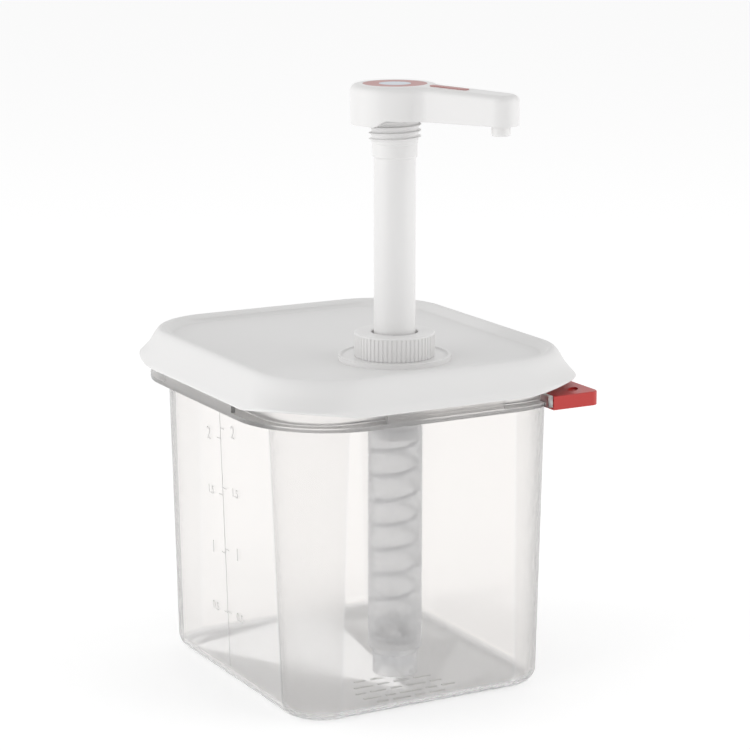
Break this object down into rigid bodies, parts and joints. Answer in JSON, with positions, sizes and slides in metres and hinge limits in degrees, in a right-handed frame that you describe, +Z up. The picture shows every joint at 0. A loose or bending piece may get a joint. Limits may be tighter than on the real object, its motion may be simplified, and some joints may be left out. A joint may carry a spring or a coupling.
{
  "type": "condiment pump dispenser",
  "caption": "Clear food container with a push-on white lid, a red corner clip and a spring-return piston pump with a swivelling spout head.",
  "frame": {"origin": "centre of the container's base, on the surface it stands on", "axes": "+Z up along the pump's axis, +X along the container's short side, the pump stands towards -Y"},
  "size_m": [0.167, 0.1869, 0.2829],
  "materials": {
    "container_pp": "clear frosted polypropylene, satin outside",
    "lid_pe": "soft translucent white polyethylene",
    "clip_red": "semi-gloss red",
    "pump_white": "semi-gloss white moulded plastic",
    "barrel_natural": "natural translucent polypropylene",
    "seal_silicone": "matt white silicone",
    "spring_steel": "drawn stainless wire",
    "ball_steel": "polished stainless steel",
    "ring_red": "printed red, satin",
    "disc_pale": "printed pale grey blue, satin"
  },
  "bodies": {
    "container": {"container": "container_pp"},
    "clip": {"color_clip": "clip_red"},
    "lid": {"lid": "lid_pe", "neck_flange": "pump_white", "neck_nut": "pump_white", "neck_gasket": "seal_silicone", "collar": "pump_white", "stem_seal": "seal_silicone", "stem_guide": "pump_white", "barrel": "barrel_natural", "intake_foot": "barrel_natural", "ball_cage": "pump_white", "return_spring": "spring_steel"},
    "piston": {"piston": "pump_white", "piston_seal": "seal_silicone"},
    "head": {"stem_tube": "pump_white", "lock_plug": "pump_white", "head": "pump_white", "nozzle_tip": "pump_white", "head_ring": "ring_red", "head_disc": "disc_pale", "arm_stripe": "ring_red"},
    "inlet_ball": {"inlet_ball": "ball_steel"},
    "outlet_ball": {"outlet_ball": "ball_steel"}
  },
  "joints": [
    {"name": "lid_lift", "type": "slide", "parent": "container", "child": "lid", "axis": [0, 0, 1], "range_m": [0, 0.16]},
    {"name": "clip_pull", "type": "slide", "parent": "container", "child": "clip", "axis": [0.7071, -0.7071, 0], "range_m": [0, 0.02]},
    {"name": "head_stroke", "type": "slide", "parent": "lid", "child": "piston", "axis": [0, 0, -1], "range_m": [0, 0.08], "stiffness_N_per_m": 340, "springref_m": -0.024, "deforming": ["return_spring"]},
    {"name": "head_swivel", "type": "hinge", "parent": "piston", "child": "head", "pos_m": [0, -0.04, 0.25], "axis": [0, 0, 1], "continuous": true},
    {"name": "inlet_ball_lift", "type": "slide", "parent": "lid", "child": "inlet_ball", "axis": [0, 0, 1], "range_m": [0, 0.0024]},
    {"name": "outlet_ball_lift", "type": "slide", "parent": "piston", "child": "outlet_ball", "axis": [0, 0, 1], "range_m": [0, 0.0019]}
  ]
}
